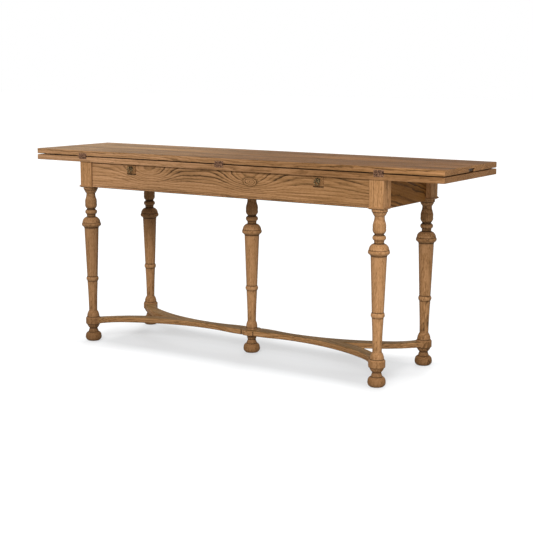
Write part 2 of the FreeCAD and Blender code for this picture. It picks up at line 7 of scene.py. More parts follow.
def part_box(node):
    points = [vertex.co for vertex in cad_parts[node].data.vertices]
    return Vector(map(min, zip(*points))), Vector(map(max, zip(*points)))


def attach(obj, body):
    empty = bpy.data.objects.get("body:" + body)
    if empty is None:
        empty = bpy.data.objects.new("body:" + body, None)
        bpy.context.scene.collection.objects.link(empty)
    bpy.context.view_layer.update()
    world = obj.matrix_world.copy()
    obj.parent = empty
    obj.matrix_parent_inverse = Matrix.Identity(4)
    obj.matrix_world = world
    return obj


# Extending console table in brown oak: two folding leaves over a fixed top, five turned legs,
# a forked stretcher, and pull-out supports with ring pulls.

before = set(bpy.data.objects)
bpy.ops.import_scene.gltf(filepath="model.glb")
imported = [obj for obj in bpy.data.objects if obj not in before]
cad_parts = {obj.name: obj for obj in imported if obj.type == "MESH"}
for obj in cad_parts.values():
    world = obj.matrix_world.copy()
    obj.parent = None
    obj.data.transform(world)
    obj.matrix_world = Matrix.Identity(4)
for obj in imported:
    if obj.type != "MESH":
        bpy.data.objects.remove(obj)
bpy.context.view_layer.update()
scene = bpy.context.scene
scene.view_settings.view_transform = "Standard"

ROWS = ("front", "back")
ENDS = ("left", "right")
CORNERS = [f"{row}_{end}" for row in ROWS for end in ENDS]

# Camera at the photograph's angle: lens from pixels, place in metres, turns in radians
IMAGE_SIDE = 533
SENSOR_WIDTH = 36
FOCAL_PIXELS = 1212.2
CAMERA_PLACE = (2.5303, -3.7951, 1.1022)
CAMERA_YAW = -0.5758
CAMERA_PITCH = 0.1666
CAMERA_ROLL = -0.0034


def set_camera():
    data = bpy.data.cameras.new("camera")
    data.sensor_width = SENSOR_WIDTH
    data.lens = FOCAL_PIXELS / IMAGE_SIDE * data.sensor_width
    camera = bpy.data.objects.new("camera", data)
    scene.collection.objects.link(camera)
    turn = (Matrix.Rotation(-CAMERA_YAW, 4, "Z")
            @ Matrix.Rotation(math.pi / 2 - CAMERA_PITCH, 4, "X")
            @ Matrix.Rotation(-CAMERA_ROLL, 4, "Z"))
    camera.matrix_world = Matrix.Translation(CAMERA_PLACE) @ turn
    scene.camera = camera


class Finish:
    """A node tree under construction, with short calls that add a node and give its output."""

    def __init__(self, tree):
        self.tree = tree

    def add(self, kind, inputs=None, **settings):
        node = self.tree.nodes.new("ShaderNode" + kind)
        for name, value in settings.items():
            setattr(node, name, value)
        for key, value in (inputs or {}).items():
            self.feed(node.inputs[key], value)
        return node

    def feed(self, socket, value):
        """Links another node's output to a socket, or sets it to a plain value."""
        if isinstance(value, bpy.types.NodeSocket):
            self.tree.links.new(value, socket)
        else:
            socket.default_value = value

    def math(self, operation, *values):
        return self.add("Math", dict(enumerate(values)), operation=operation).outputs[0]

    def vector(self, operation, *values):
        node = self.add("VectorMath", dict(enumerate(values)), operation=operation)
        return node.outputs["Value" if operation in ("LENGTH", "DOT_PRODUCT") else "Vector"]

    def scaled(self, vector, factor):
        return self.add("VectorMath", {0: vector, "Scale": factor}, operation="SCALE").outputs["Vector"]

    def parts(self, vector):
        return self.add("SeparateXYZ", {0: vector}).outputs

    def noise(self, vector, rate, detail=2.0, output="Fac"):
        """Noise with a rate for each direction, grey or in colour."""
        inputs = {"Vector": self.vector("MULTIPLY", vector, rate), "Scale": 1.0, "Detail": detail}
        return self.add("TexNoise", inputs).outputs[output]

    def chance(self, number):
        """Another random value and colour for each whole number."""
        return self.add("TexWhiteNoise", {"W": self.math("FLOOR", number)}, noise_dimensions="1D").outputs

    def span(self, value, low, high, to_low=0.0, to_high=1.0):
        inputs = {"Value": value, "From Min": low, "From Max": high, "To Min": to_low, "To Max": to_high}
        return self.add("MapRange", inputs).outputs["Result"]

    def ramp(self, value, stops):
        """Ramp through (place, colour or grey level) stops."""
        node = self.add("ValToRGB", {"Fac": value})
        steps = node.color_ramp.elements
        while len(steps) < len(stops):
            steps.new(0.5)
        for step, (place, colour) in zip(steps, stops):
            step.position = place
            step.color = colour if isinstance(colour, tuple) else (colour, colour, colour, 1)
        return node.outputs["Color"]

    def blend(self, factor, first, second):
        """Mix of two colours. The node has sockets for every kind of value, so those of colours go by number."""
        node = self.add("Mix", {0: factor, 6: first, 7: second}, data_type="RGBA")
        return node.outputs[2]

    def object_place(self):
        return self.add("TexCoord").outputs["Object"]


def new_material(name):
    """Material with its tree builder and its Principled shader."""
    material = bpy.data.materials.new(name)
    material.use_nodes = True
    finish = Finish(material.node_tree)
    return material, finish, material.node_tree.nodes["Principled BSDF"]


# How the rings drift sideways: rate along and across the log, and reach in metres
RING_DRIFTS = [((1.3, 7.0, 7.0), 0.050), ((6.0, 26.0, 26.0), 0.014), ((26.0, 100.0, 100.0), 0.0065)]
# How dark a ring is, from its open early wood to the next ring
RING_STOPS = [(0.0, 1.0), (0.18, 0.9), (0.34, 0.35), (0.60, 0.06), (0.88, 0.02), (1.0, 0.50)]
# How much a ring and a patch of rings may fade
RING_LEVELS = (0.30, 1.0)
PATCH_LEVELS = (0.45, 1.0)
# Rates of the rest of the figure along and across the log
PATCH_RATE = (3.0, 22.0, 22.0)
STREAK_RATE = (6.0, 230.0, 230.0)
FLECK_RATE = (70.0, 420.0, 420.0)
PORE_RATE = (80.0, 1400.0, 1400.0)
TONE_RATE = (1.1, 6.0, 6.0)
# The middle of coloured noise, and the levels of grey noise that become none and all of an even or a sparse figure
NOISE_MIDDLE = (0.5, 0.5, 0.5)
EVEN_RANGE = (0.3, 0.7)
SPARSE_RANGE = (0.52, 0.70)


def oak_figure():
    """Shared figure of oak in a log's own directions: rings, fine streaks, flecks, pores and slow tone."""
    tree = bpy.data.node_groups.new("oak_figure", "ShaderNodeTree")
    for name, kind in (("Log", "Vector"), ("Swell", "Float"), ("Ring Width", "Float"), ("Knot", "Float"),
                       ("Knot Share", "Float")):
        tree.interface.new_socket(name, in_out="INPUT", socket_type="NodeSocket" + kind)
    finish = Finish(tree)
    source = tree.nodes.new("NodeGroupInput").outputs
    log = source["Log"]

    across = finish.vector("MULTIPLY", log, (0.0, 1.0, 1.0))
    for rate, reach in RING_DRIFTS:
        drift = finish.vector("SUBTRACT", finish.noise(log, rate, output="Color"), NOISE_MIDDLE)
        across = finish.vector("ADD", across, finish.vector("MULTIPLY", drift, (0.0, reach, reach)))
    radius = finish.math("ADD", finish.vector("LENGTH", across), source["Swell"])
    inside = source["Knot Share"]
    radius = finish.math("MULTIPLY", radius, finish.math("SUBTRACT", 1.0, inside))
    radius = finish.math("ADD", radius, finish.math("MULTIPLY", source["Knot"], inside))
    phase = finish.math("DIVIDE", radius, source["Ring Width"])
    rings = finish.ramp(finish.math("FRACT", phase), RING_STOPS)
    rings = finish.math("MULTIPLY", rings, finish.span(finish.chance(phase)["Value"], 0.0, 1.0, *RING_LEVELS))
    patch = finish.noise(log, PATCH_RATE)
    rings = finish.math("MULTIPLY", rings, finish.span(patch, *EVEN_RANGE, *PATCH_LEVELS))

    figure = {
        "Rings": rings,
        "Streaks": finish.span(finish.noise(log, STREAK_RATE, detail=3.0), *EVEN_RANGE),
        "Flecks": finish.span(finish.noise(log, FLECK_RATE), *SPARSE_RANGE),
        "Pores": finish.span(finish.noise(log, PORE_RATE), *SPARSE_RANGE),
        "Tone": finish.span(finish.noise(log, TONE_RATE), *EVEN_RANGE),
    }
    for name in figure:
        tree.interface.new_socket(name, in_out="OUTPUT", socket_type="NodeSocketFloat")
    target = tree.nodes.new("NodeGroupOutput").inputs
    for name, socket in figure.items():
        tree.links.new(socket, target[name])
    return tree


OAK_FIGURE = oak_figure()


def swelling(finish, place, swells):
    """How far knots and bends push the rings: the sum of soft mounds (spot, reach, height)."""
    total = 0.0
    for spot, reach, height in swells:
        offset = finish.vector("DIVIDE", finish.vector("SUBTRACT", place, spot), reach)
        fall = finish.math("MULTIPLY", finish.vector("DOT_PRODUCT", offset, offset), -1.0)
        total = finish.math("ADD", finish.math("MULTIPLY", finish.math("EXPONENT", fall), height), total)
    return total


# Oval knot, in shares of its reach: how its outline wobbles, how wide its rim is and where it ends.
# Its rings count as if it were this deep, in metres.
KNOT_WOBBLE_RATE = (45.0, 45.0, 45.0)
KNOT_WOBBLE = 0.15
KNOT_RIM = 0.22
KNOT_END = (1.1, 0.95)
KNOT_DEPTH = 0.042


def knot_rings(finish, place, spot, reach):
    """Rings of an oval knot: their radius, a mask of its inside, and its dark rim."""
    offset = finish.vector("DIVIDE", finish.vector("SUBTRACT", place, spot), reach)
    wobble = finish.span(finish.noise(place, KNOT_WOBBLE_RATE), *EVEN_RANGE, -KNOT_WOBBLE, KNOT_WOBBLE)
    distance = finish.math("ADD", finish.vector("LENGTH", offset), wobble)
    rim = finish.span(finish.math("ABSOLUTE", finish.math("SUBTRACT", distance, 1.0)), KNOT_RIM, 0.0)
    return finish.math("MULTIPLY", distance, KNOT_DEPTH), finish.span(distance, *KNOT_END), rim


# Waxed oak, from its palest wood to the darkest line of a ring, the wax and painted shade in hollows, and worn
# edges with a painted highlight
OAK_PALE = (0.560, 0.300, 0.140, 1)
OAK_MID = (0.365, 0.185, 0.074, 1)
OAK_DARK = (0.085, 0.045, 0.019, 1)
OAK_WAX_AND_SHADE = (0.035, 0.018, 0.008, 1)
OAK_WORN_AND_HIGHLIGHT = (0.640, 0.390, 0.210, 1)
OAK_STOPS = [(0.0, OAK_PALE), (0.42, OAK_MID), (1.0, OAK_DARK)]
OAK_ROUGHNESS = (0.50, 0.64)
OAK_SPECULAR = 0.05
# How much pores and a knot's rim darken the wood, how deep rings are beside pores, and how deep the grain is
PORE_SHARE = 0.22
RIM_SHARE = 0.25
RING_DEPTH = 0.5
GRAIN_DEPTH = 0.0005
GRAIN_STRENGTH = 0.25
# Paler and darker wood: slowly along a log, from plank to plank, and in stripes on a top face
TONE_LEVELS = (0.84, 1.14)
PLANK_LEVELS = (0.86, 1.10)
PLANK_SHIFT = (3.0, 0.05, 0.05)
STRIPE_RATE = (1.8, 14.0, 14.0)
STRIPE_RANGE = (0.35, 0.65)
STRIPE_LEVELS = (0.72, 1.24)
# Where a top face's painted sheen and shade go from the left tint to the right one, and how level a face is to have
# them
PAINTED_LIGHT_SPAN = (-0.75, 0.15)
PAINTED_LIGHT_TILT = (0.6, 0.9)
# Rubbed edges with a painted highlight: how far in they reach, and how much the surface bends there
EDGE_REACH = 0.0016
EDGE_BEND = (0.985, 0.82)
# Wax and painted shade in corners, by how shut in they are, and in seams
WAX_AND_SHADE_SHUT = (0.96, 0.66)
WAX_AND_SHADE_MOST = 0.95
SEAM_CORE = 0.6
SEAM_WAX_AND_SHADE = 0.85


def planks(finish, log, sideways, width):
    """Moves the figure and the tone from board to board, where boards of a width are glued side by side."""
    chance = finish.chance(finish.math("DIVIDE", sideways, width))
    shift = finish.vector("SUBTRACT", chance["Color"], NOISE_MIDDLE)
    log = finish.vector("ADD", log, finish.vector("MULTIPLY", shift, PLANK_SHIFT))
    return log, finish.span(chance["Value"], 0.0, 1.0, *PLANK_LEVELS)


def stripes_and_painted_light(finish, colour, along, log, tints):
    """Stripes on a top face, with painted sheen and shade from one tint at the left to another at the right."""
    tint = finish.blend(finish.span(along, *PAINTED_LIGHT_SPAN), *tints)
    stripes = finish.span(finish.noise(log, STRIPE_RATE), *STRIPE_RANGE, *STRIPE_LEVELS)
    striped_painted_light = finish.scaled(finish.vector("MULTIPLY", colour, tint), stripes)
    upward = finish.parts(finish.add("TexCoord").outputs["Normal"])["Z"]
    return finish.blend(finish.span(upward, *PAINTED_LIGHT_TILT), colour, striped_painted_light)


def rubbed_and_highlit(finish, colour, wear):
    """Paler wood where hands have rubbed the edges, with a painted highlight."""
    smooth = finish.add("Bevel", {"Radius": EDGE_REACH}, samples=4).outputs["Normal"]
    bent = finish.vector("DOT_PRODUCT", smooth, finish.add("NewGeometry").outputs["Normal"])
    return finish.blend(finish.span(bent, *EDGE_BEND, 0.0, wear), colour, OAK_WORN_AND_HIGHLIGHT)


def wax_and_painted_shade(finish, colour, spots, hollow, seams):
    """Dark wax and painted shade in hollows and along seams."""
    shut = finish.add("AmbientOcclusion", {"Distance": hollow}, samples=8, only_local=True).outputs["AO"]
    wax_and_shade = finish.span(shut, *WAX_AND_SHADE_SHUT, 0.0, WAX_AND_SHADE_MOST)
    for axis, spot, half in seams:
        away = finish.math("ABSOLUTE", finish.math("SUBTRACT", spots[axis], spot))
        wax_and_shade = finish.math("MAXIMUM", wax_and_shade, finish.span(away, half, half * SEAM_CORE, 0.0, SEAM_WAX_AND_SHADE))
    return finish.blend(wax_and_shade, colour, OAK_WAX_AND_SHADE)


def oak(name, grain, pith, ring=0.0075, contrast=0.6, streaks=0.45, flecks=0.20, tint=(1, 1, 1), swells=(),
        bold=(), knot=None, plank=None, painted_top_light=None, fade=None, seams=(), wear=0.40, hollow=0.008):
    """Waxed oak, whose pith runs through a point along the grain, with rings of a width. Bold mounds darken the
    rings. Boards glued side by side have the plank width. A top face has stripes with painted sheen and shade from
    one tint at the left to another at the right, and fade goes from tint to tint along any axis (axis, start, end,
    tints). Seams are dark lines of wax and painted shade (axis, place, half width), wear is how pale the edges are
    rubbed, with a painted highlight, and hollow is how far wax and painted shade reach out of a corner."""
    material, finish, shader = new_material(name)
    place = finish.object_place()
    spots = finish.parts(place)
    turn = Vector(grain).to_track_quat("X", "Z").to_euler()
    log = finish.add("Mapping", {"Vector": place, "Location": pith, "Rotation": turn}, vector_type="TEXTURE")
    log = log.outputs["Vector"]
    level = 1.0
    if plank:
        log, level = planks(finish, log, spots["Y"], plank)
    inputs = {"Log": log, "Ring Width": ring, "Swell": swelling(finish, place, swells)}
    rim = 0.0
    if knot:
        inputs["Knot"], inputs["Knot Share"], rim = knot_rings(finish, place, *knot)
    figure = finish.add("Group", inputs, node_tree=OAK_FIGURE).outputs

    strength = finish.math("ADD", contrast, swelling(finish, place, bold))
    shade = finish.math("MULTIPLY_ADD", figure["Rings"], strength, finish.math("MULTIPLY", rim, RIM_SHARE))
    for part, share in (("Streaks", streaks), ("Flecks", flecks), ("Pores", PORE_SHARE)):
        shade = finish.math("MULTIPLY_ADD", figure[part], share, shade)
    colour = finish.ramp(shade, OAK_STOPS)
    level = finish.math("MULTIPLY", finish.span(figure["Tone"], 0.0, 1.0, *TONE_LEVELS), level)
    colour = finish.vector("MULTIPLY", finish.scaled(colour, level), tint)
    if fade:
        axis, start, end, tints = fade
        colour = finish.vector("MULTIPLY", colour, finish.blend(finish.span(spots[axis], start, end), *tints))
    # Painted sheen and shade on the top face, with stripes
    if painted_top_light:
        colour = stripes_and_painted_light(finish, colour, spots["X"], log, painted_top_light)
    # Rubbed edges with a painted highlight, then wax and painted shade in hollows and along seams
    colour = wax_and_painted_shade(finish, rubbed_and_highlit(finish, colour, wear), spots, hollow, seams)

    finish.feed(shader.inputs["Base Color"], colour)
    finish.feed(shader.inputs["Roughness"], finish.span(figure["Streaks"], 0.0, 1.0, *OAK_ROUGHNESS))
    shader.inputs["Specular IOR Level"].default_value = OAK_SPECULAR
    depth = finish.math("MULTIPLY_ADD", figure["Rings"], RING_DEPTH, figure["Pores"])
    bump = finish.add("Bump", {"Height": depth, "Strength": GRAIN_STRENGTH, "Distance": GRAIN_DEPTH}, invert=True)
    finish.feed(shader.inputs["Normal"], bump.outputs["Normal"])
    return material


# Blotches of aged metal, how much rougher they are, and the mottle of matt stuff
BLOTCH_RATE = (300.0, 300.0, 300.0)
BLOTCH_RANGE = (0.42, 0.62)
DULL_ROUGHNESS = 0.2
MOTTLE_RATE = (900.0, 900.0, 900.0)
MOTTLE_DEPTH = 0.0003


def metal(name, bright, dull, roughness):
    """Aged metal with darker blotches and a rougher skin where it has dulled."""
    material, finish, shader = new_material(name)
    blotch = finish.span(finish.noise(finish.object_place(), BLOTCH_RATE, detail=4.0), *BLOTCH_RANGE)
    finish.feed(shader.inputs["Base Color"], finish.blend(blotch, dull, bright))
    finish.feed(shader.inputs["Roughness"], finish.span(blotch, 0.0, 1.0, roughness + DULL_ROUGHNESS, roughness))
    shader.inputs["Metallic"].default_value = 0.9
    return material


def matt(name, colour, worn):
    """Matt moulded or felted stuff with a fine mottle."""
    material, finish, shader = new_material(name)
    mottle = finish.noise(finish.object_place(), MOTTLE_RATE, detail=4.0)
    finish.feed(shader.inputs["Base Color"], finish.blend(mottle, colour, worn))
    shader.inputs["Roughness"].default_value = 0.85
    bump = finish.add("Bump", {"Height": mottle, "Strength": 0.3, "Distance": MOTTLE_DEPTH})
    finish.feed(shader.inputs["Normal"], bump.outputs["Normal"])
    return material


def paint(material, *names):
    """Gives a finish to CAD nodes."""
    for name in names:
        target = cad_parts[name]
        target.data.materials.clear()
        target.data.materials.append(material)


def middle(node):
    """Middle of a CAD node's box."""
    low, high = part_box(node)
    return (Vector(low) + Vector(high)) / 2


# Grain and pith of each board, in metres
LEAF_LOGS = {"front": ((1, 0, 0.004), (0.2, -0.09, 0.66)), "back": ((1, 0, -0.004), (-0.3, 0.12, 0.66))}
FIXED_LOG = ((1, 0, 0.003), (0.1, -0.02, 0.68))
FRONT_APRON_LOG = ((1, 0.01, 0), (0.0, -0.050, 0.580))
BACK_APRON_LOG = ((1, -0.03, 0), (0.2, 0.150, 0.640))
END_APRON_LOG = ((0, 1, -0.25), (0.60, 0.0, 0.655))
INNER_LOG = ((0, 1, 0), (0.1, 0.0, 0.60))
BLOCK_LOG = ((1, 0, 0), (0.1, 0.1, 0.60))
# The top's rings and glued boards, and how far a loper's pith is from its middle
TOP_RING = 0.006
TOP_PLANK = 0.11
LOPER_PITH = Vector((0.06, 0, -0.05))
# Bends in the front apron's grain, and where its rings are boldest: spot, reach and height
APRON_SWELLS = [
    ((0.127, -0.206, 0.702), (0.100, 0.06, 0.055), 0.070),
    ((-0.330, -0.206, 0.702), (0.100, 0.06, 0.055), 0.070),
    ((0.660, -0.206, 0.705), (0.120, 0.06, 0.050), 0.030),
    ((0.0, -0.206, 0.600), (4.0, 0.20, 0.050), -0.050),
]
APRON_BOLD = [
    ((-0.220, -0.206, 0.698), (0.110, 0.06, 0.028), 0.95),
    ((-0.020, -0.206, 0.702), (0.090, 0.06, 0.024), 0.80),
    ((0.127, -0.206, 0.685), (0.060, 0.06, 0.024), 0.80),
    ((0.270, -0.206, 0.702), (0.080, 0.06, 0.022), 0.80),
    ((0.540, -0.206, 0.705), (0.070, 0.06, 0.016), 0.80),
]
APRON_KNOT = ((0.127, -0.206, 0.6835), (0.032, 0.05, 0.0185))
APRON_RING = 0.0125
END_APRON_RING = 0.010
# Dark seams: where the long aprons meet the posts, and joint lines with painted shadow at a loper's top and foot;
# how far under a loper's top its lower one is, and half widths
APRON_END = 0.6125
LOPER_FACE = 0.037
SEAM_HALF = 0.003
LOPER_SHADOW_HALF = 0.004
# Painted sheen and shade, paler and greyer at the table's left end and darker at its right: of the boards' edges,
# the top and the stretcher's top face
FADE_SPAN = (-0.5, 0.5)
APRON_PAINTED_LIGHT = ((1.14, 1.17, 1.28, 1), (0.80, 0.79, 0.76, 1))
LEAF_PAINTED_LIGHT = ((1.28, 1.32, 1.46, 1), (0.96, 0.92, 0.86, 1))
FIXED_PAINTED_LIGHT = ((1.34, 1.40, 1.62, 1), (0.84, 0.80, 0.76, 1))
TOP_PAINTED_LIGHT = ((0.83, 0.94, 1.02, 1), (0.56, 0.50, 0.34, 1))
STRETCHER_PAINTED_LIGHT = ((0.84, 0.92, 0.90, 1), (0.56, 0.60, 0.52, 1))
# Tints of whole pieces; the end aprons' tint is painted shade, darker and warmer, under the top's overhang
END_APRON_PAINTED_SHADE = (0.59, 0.49, 0.27)
LOPER_TINT = (0.72, 0.70, 0.66)
INNER_TINT = (1.1, 1.1, 1.1)


def finish_boards():
    """Finishes the top, the aprons, the lopers and the frame inside."""
    # The leaves have painted sheen at the left end and painted shade at the right, on their edges and top faces
    for row in ROWS:
        paint(oak(f"oak_{row}_leaf", *LEAF_LOGS[row], ring=TOP_RING, contrast=0.75, plank=TOP_PLANK,
                  fade=("X", *FADE_SPAN, LEAF_PAINTED_LIGHT), painted_top_light=TOP_PAINTED_LIGHT), f"{row}_leaf")
    # The fixed top's edges have painted sheen at the left end and painted shade at the right
    paint(oak("oak_fixed_top", *FIXED_LOG, ring=TOP_RING, plank=TOP_PLANK, fade=("X", *FADE_SPAN, FIXED_PAINTED_LIGHT)),
          "fixed_top")
    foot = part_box("front_apron")[0][2]
    seams = [("X", -APRON_END, SEAM_HALF), ("X", APRON_END, SEAM_HALF), ("Z", foot, SEAM_HALF)]
    # The front apron has painted sheen at the left end and painted shade at the right
    paint(oak("oak_front_apron", *FRONT_APRON_LOG, ring=APRON_RING, contrast=0.58, swells=APRON_SWELLS,
              bold=APRON_BOLD, knot=APRON_KNOT, seams=seams, fade=("X", *FADE_SPAN, APRON_PAINTED_LIGHT)), "front_apron")
    paint(oak("oak_back_apron", *BACK_APRON_LOG, seams=seams), "back_apron")
    # The end aprons are darkened and warmed by painted shade under the top's overhang
    paint(oak("oak_end_apron", *END_APRON_LOG, ring=END_APRON_RING, contrast=1.1, streaks=0.30,
              tint=END_APRON_PAINTED_SHADE), "right_apron", "left_apron")
    for corner in CORNERS:
        loper = f"loper_{corner}"
        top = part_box(loper)[1][2]
        # A loper's top and foot seams are dark joint lines with painted shadow under the top's overhang and under
        # the loper
        seams = [("Z", top - LOPER_FACE, LOPER_SHADOW_HALF), ("Z", top, SEAM_HALF)]
        paint(oak(f"oak_{loper}", (0, 1, 0), middle(loper) + LOPER_PITH, tint=LOPER_TINT, seams=seams), loper)
    paint(oak("oak_inner_frame", *INNER_LOG, tint=INNER_TINT), "centre_rail",
          *[f"loper_tray_{end}" for end in ENDS],
          *[f"loper_rail_{spot}_{end}" for spot in ("inner", "middle", "outer") for end in ENDS])
    paint(oak("oak_glue_blocks", *BLOCK_LOG, tint=INNER_TINT), "glue_blocks")


# Grain and pith of the uprights and the stretcher. Posts and legs have their pith this far from their own middle,
# lips have it this far from the post's middle, and for the stretcher it is a place.
POST_GRAIN = (0, 0.02, 1)
POST_PITH = Vector((-0.30, 0.10, 0))
POST_TINT = (1.20, 1.20, 1.20)
LIP_PITH = Vector((0, 0.05, -0.15))
LEG_GRAIN = (0.03, -0.05, 1)
LEG_PITH = Vector((-0.015, 0.025, 0))
LEG_RING = 0.005
LEG_HOLLOW = 0.014
BOSS_LOG = ((1, 0.3, 0), (0.0, 0.05, 0.03))
BOSS_TINT = (0.92, 0.92, 0.92)
TAIL_LOG = ((1, 0, 0.01), (0.0, 0.03, 0.02))
TAIL_SEAM_HALF = 0.006
ARM_GRAIN = (1, 0.4, 0)
ARM_PITH = (0.4, 0.05, 0.03)
ARM_TINT = (0.87, 0.87, 0.84)
# Lines of dark wax and painted shade between the legs' turnings: height and half width
LEG_WAX_AND_SHADE_LINES = [(0.0376, 0.0011), (0.0525, 0.0015), (0.0705, 0.0011), (0.0990, 0.0014), (0.2434, 0.0012),
             (0.2623, 0.0015), (0.4580, 0.0025), (0.4776, 0.0010), (0.5007, 0.0015), (0.5106, 0.0014),
             (0.5314, 0.0017), (0.6080, 0.0016)]
# Each leg's tone, and how bold its rings are
LEG_WOODS = {"front_right": (0.97, 0.2), "front_left": (0.74, 0.2), "back_right": (0.82, 0.6),
             "back_left": (0.82, 0.2), "centre": (0.92, 0.2)}
# The feet are darker, from the floor to the height where the leg has its own tone
FOOT_SPAN = (0.03, 0.17)
FOOT_TINTS = ((0.58, 0.56, 0.53, 1), (1, 1, 1, 1))


def finish_stand():
    """Finishes the posts, the lips, the legs and the stretcher."""
    for corner in CORNERS:
        spot = middle(f"post_{corner}")
        paint(oak(f"oak_post_{corner}", POST_GRAIN, spot + POST_PITH, contrast=0.35, flecks=0.4, tint=POST_TINT),
              f"post_{corner}")
        paint(oak(f"oak_lip_{corner}", (1, 0, 0), spot + LIP_PITH), f"post_lip_{corner}")
    for corner, (tone, contrast) in LEG_WOODS.items():
        leg = f"leg_{corner}"
        # The legs have lines of dark wax and painted shade between their turnings, and painted shade in their
        # hollows
        paint(oak(f"oak_{leg}", LEG_GRAIN, middle(leg) + LEG_PITH, ring=LEG_RING, contrast=contrast, streaks=0.30,
                  flecks=0.45, wear=0.30, tint=(tone, tone, tone), hollow=LEG_HOLLOW,
                  fade=("Z", *FOOT_SPAN, FOOT_TINTS), seams=[("Z", *line) for line in LEG_WAX_AND_SHADE_LINES]), leg)
    # The stretcher's top faces have painted sheen and shade from the left end to the right
    paint(oak("oak_boss", *BOSS_LOG, tint=BOSS_TINT, painted_top_light=STRETCHER_PAINTED_LIGHT), "stretcher_boss")
    for end, sx in (("left", -1), ("right", 1)):
        low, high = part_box(f"stretcher_tail_{end}")
        joint = low[0] if sx > 0 else high[0]
        paint(oak(f"oak_tail_{end}", *TAIL_LOG, tint=ARM_TINT, painted_top_light=STRETCHER_PAINTED_LIGHT,
                  seams=[("X", joint, TAIL_SEAM_HALF)]), f"stretcher_tail_{end}")
        for row, sy in (("front", -1), ("back", 1)):
            mirror = Vector((sx, sy, 1))
            paint(oak(f"oak_arm_{row}_{end}", Vector(ARM_GRAIN) * mirror, Vector(ARM_PITH) * mirror, tint=ARM_TINT,
                      painted_top_light=STRETCHER_PAINTED_LIGHT), f"stretcher_arm_{row}_{end}")


def finish_fittings():
    """Finishes the metal, the glides and the bumpers, and gives the hinges' metal for their screws."""
    hinge = metal("aged_bronze", (0.36, 0.19, 0.11, 1), (0.035, 0.017, 0.010, 1), 0.45)
    paint(hinge, *[f"hinge_{part}_{row}" for part in ("fixed_plates", "leaf_plates", "pins") for row in ROWS])
    paint(metal("dark_bronze", (0.26, 0.18, 0.085, 1), (0.030, 0.019, 0.009, 1), 0.32),
          *[f"pull_{part}_{corner}" for part in ("eye", "ring") for corner in CORNERS])
    paint(metal("steel_plate", (0.14, 0.11, 0.08, 1), (0.05, 0.038, 0.028, 1), 0.5),
          *[f"finger_plates_{row}" for row in ROWS])
    paint(matt("glide", (0.10, 0.08, 0.06, 1), (0.17, 0.13, 0.10, 1)), "foot_glides")
    paint(matt("bumper", (0.30, 0.24, 0.18, 1), (0.40, 0.33, 0.25, 1)), "leaf_bumpers")
    return hinge


# Slotted screws of the hinges: their heads, and how far they are from the hinge's middle and the plate's edge
SCREW_RADIUS = 0.0022
SCREW_TAPER = 0.85
SCREW_SIDES = 24
SCREW_RISE = 0.0003
SCREW_SINK = 0.0005
SLOT_WIDTH = 0.0008
SLOT_DEPTH = 0.0005
SCREW_OUT = 0.0125
SCREW_IN = 0.005
HINGE_HALF = 0.019
SCREW_TURNS = [0.3, 1.2, 2.1, 0.8, 2.7, 1.6]


def screw_head(shape, spot, facing, turn):
    """Adds a slotted head to a mesh, sunk a little into the face that it sits on."""
    depth = SCREW_RISE + SCREW_SINK
    head = bmesh.new()
    bmesh.ops.create_cone(head, cap_ends=True, segments=SCREW_SIDES, radius1=SCREW_RADIUS,
                          radius2=SCREW_RADIUS * SCREW_TAPER, depth=depth)
    for side in (-1, 1):
        bmesh.ops.bisect_plane(head, geom=head.verts[:] + head.edges[:] + head.faces[:],
                               plane_co=(side * SLOT_WIDTH / 2, 0, 0), plane_no=(1, 0, 0))
    slot = [face for face in head.faces
            if face.normal.z > 0.9 and abs(face.calc_center_median().x) < SLOT_WIDTH / 4]
    floor = bmesh.ops.extrude_face_region(head, geom=slot)["geom"]
    bmesh.ops.delete(head, geom=slot, context="FACES_ONLY")
    bmesh.ops.translate(head, vec=(0, 0, -SLOT_DEPTH),
                        verts=[part for part in floor if isinstance(part, bmesh.types.BMVert)])
    place = (Matrix.Translation(spot) @ facing.to_track_quat("Z", "X").to_matrix().to_4x4()
             @ Matrix.Rotation(turn, 4, "Z") @ Matrix.Translation((0, 0, SCREW_RISE - depth / 2)))
    bmesh.ops.transform(head, matrix=place, verts=head.verts)
    bmesh.ops.recalc_face_normals(head, faces=head.faces)
    mesh = bpy.data.meshes.new("screw_head")
    head.to_mesh(mesh)
    head.free()
    shape.from_mesh(mesh)
    bpy.data.meshes.remove(mesh)


def hinge_screws(name, nodes, body, material):
    """Two screws on each hinge plate of the given nodes, as one piece that moves with the body."""
    shape = bmesh.new()
    top_low, top_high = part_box("fixed_top")
    for node in nodes:
        low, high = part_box(node)
        front = node.endswith("front")
        height = high[2] - SCREW_IN if "leaf" in node else low[2] + SCREW_IN
        for number, hinge_x in enumerate((low[0] + HINGE_HALF, 0.0, high[0] - HINGE_HALF)):
            for side in (-1, 1):
                spot = (hinge_x + side * SCREW_OUT, top_low[1] if front else top_high[1], height)
                turn = SCREW_TURNS[2 * number + (side + 1) // 2]
                screw_head(shape, spot, Vector((0, -1 if front else 1, 0)), turn)
    mesh = bpy.data.meshes.new(name)
    shape.to_mesh(mesh)
    shape.free()
    mesh.materials.append(material)
    piece = bpy.data.objects.new(name, mesh)
    scene.collection.objects.link(piece)
    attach(piece, body)


def add_screws(material):
    """Screws on the fixed plates, and on the plates of each leaf."""
    hinge_screws("hinge_screws_fixed", [f"hinge_fixed_plates_{row}" for row in ROWS], "base", material)
    for row in ROWS:
        hinge_screws(f"hinge_screws_{row}_leaf", [f"hinge_leaf_plates_{row}"], f"{row}_leaf", material)


def seen_directly(finish):
    """One for camera, glossy and transmission rays, which see the pale background itself."""
    rays = finish.add("LightPath").outputs
    direct = finish.math("MAXIMUM", rays["Is Camera Ray"], rays["Is Glossy Ray"])
    return finish.math("MAXIMUM", direct, rays["Is Transmission Ray"])


